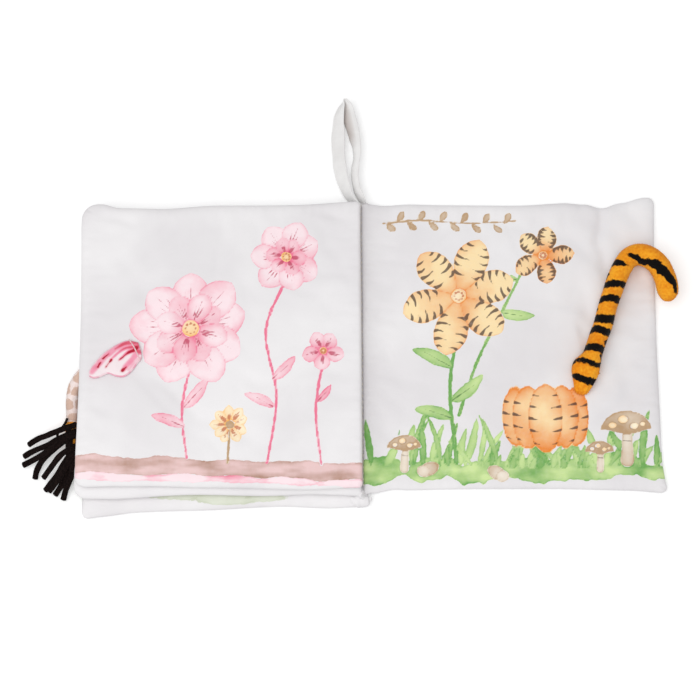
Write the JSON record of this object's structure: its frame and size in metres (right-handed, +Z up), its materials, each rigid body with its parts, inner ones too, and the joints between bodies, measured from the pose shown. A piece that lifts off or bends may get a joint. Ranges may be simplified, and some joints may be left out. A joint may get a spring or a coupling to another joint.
{
  "type": "crinkle cloth book",
  "caption": "Soft cloth book lying open, with padded crinkling leaves turned about a sewn spine, a ribbon hang loop and stuffed cloth tails sewn to its pages.",
  "frame": {"origin": "under the middle of the spine's length, on the surface that the open book lies on", "axes": "+X towards the right-hand leaf, +Y up the page towards the hang loop, +Z up out of the pages"},
  "size_m": [0.4564, 0.3005, 0.0264],
  "materials": {
    "page_cloth": "smooth printed polyester cloth",
    "wadding": "lofted polyester wadding",
    "film": "thin crinkled film",
    "thread": "sewing thread",
    "ribbon": "woven ribbon",
    "orange_plush": "short plush with dark stripes",
    "pink_cloth": "printed pink cloth",
    "spotted_cloth": "short plush with brown patches",
    "black_felt": "black felt strips"
  },
  "bodies": {
    "book_base": {"spine_binding": "page_cloth", "spine_seam": "thread", "leaf_1_front_panel": "page_cloth", "leaf_1_back_panel": "page_cloth", "leaf_1_wadding": "wadding", "leaf_1_crinkle_film": "film"},
    "leaf_2": {"leaf_2_front_panel": "page_cloth", "leaf_2_back_panel": "page_cloth", "leaf_2_wadding": "wadding", "leaf_2_crinkle_film": "film", "spotted_tail_tack": "thread"},
    "leaf_3": {"leaf_3_front_panel": "page_cloth", "leaf_3_back_panel": "page_cloth", "leaf_3_wadding": "wadding", "leaf_3_crinkle_film": "film", "pink_tail_stitches": "thread"},
    "leaf_4": {"leaf_4_front_panel": "page_cloth", "leaf_4_back_panel": "page_cloth", "leaf_4_wadding": "wadding", "leaf_4_crinkle_film": "film", "striped_tail_tack": "thread"},
    "striped_tail": {"striped_tail_cover": "orange_plush", "striped_tail_filling": "wadding"},
    "pink_tail": {"pink_tail_front": "pink_cloth", "pink_tail_back": "pink_cloth", "pink_tail_wadding": "wadding"},
    "spotted_tail": {"spotted_tail_cover": "spotted_cloth", "spotted_tail_filling": "wadding", "tail_wrap": "orange_plush"},
    "tassel": {"tassel_band": "black_felt", "tassel_strip_01": "black_felt", "tassel_strip_02": "black_felt", "tassel_strip_03": "black_felt", "tassel_strip_04": "black_felt", "tassel_strip_05": "black_felt", "tassel_strip_06": "black_felt", "tassel_strip_07": "black_felt", "tassel_strip_08": "black_felt", "tassel_strip_09": "black_felt", "tassel_strip_10": "black_felt"},
    "hang_loop": {"hang_loop": "ribbon"}
  },
  "joints": [
    {"name": "leaf_2_turn", "type": "hinge", "parent": "book_base", "child": "leaf_2", "pos_m": [0, 0, 0.01545], "axis": [0, -1, 0], "range_deg": [-172, 0]},
    {"name": "leaf_3_turn", "type": "hinge", "parent": "leaf_2", "child": "leaf_3", "pos_m": [0, 0, 0.01545], "axis": [0, 1, 0], "range_deg": [0, 172]},
    {"name": "leaf_4_turn", "type": "hinge", "parent": "book_base", "child": "leaf_4", "pos_m": [0, 0, 0.01545], "axis": [0, -1, 0], "range_deg": [0, 172]},
    {"name": "striped_tail_wag", "type": "hinge", "parent": "leaf_4", "child": "striped_tail", "pos_m": [0.15, -0.03, 0.0078], "axis": [0, 0, 1], "range_deg": [-30, 30]},
    {"name": "pink_tail_lift", "type": "hinge", "parent": "leaf_3", "child": "pink_tail", "pos_m": [-0.158, -0.0085, 0.0264], "axis": [-0.5089, 0.8608, 0], "range_deg": [0, 150]},
    {"name": "spotted_tail_swing", "type": "hinge", "parent": "leaf_2", "child": "spotted_tail", "pos_m": [-0.1887, -0.0069, 0.01515], "axis": [0, 0, 1], "range_deg": [-35, 0]},
    {"name": "tassel_lift", "type": "hinge", "parent": "spotted_tail", "child": "tassel", "pos_m": [-0.20039, -0.07047, 0.01041], "axis": [0, 1, 0], "range_deg": [0, 50]},
    {"name": "hang_loop_swing", "type": "hinge", "parent": "book_base", "child": "hang_loop", "pos_m": [0, 0.1038, 0.013], "axis": [1, 0, 0], "range_deg": [0, 90]}
  ]
}
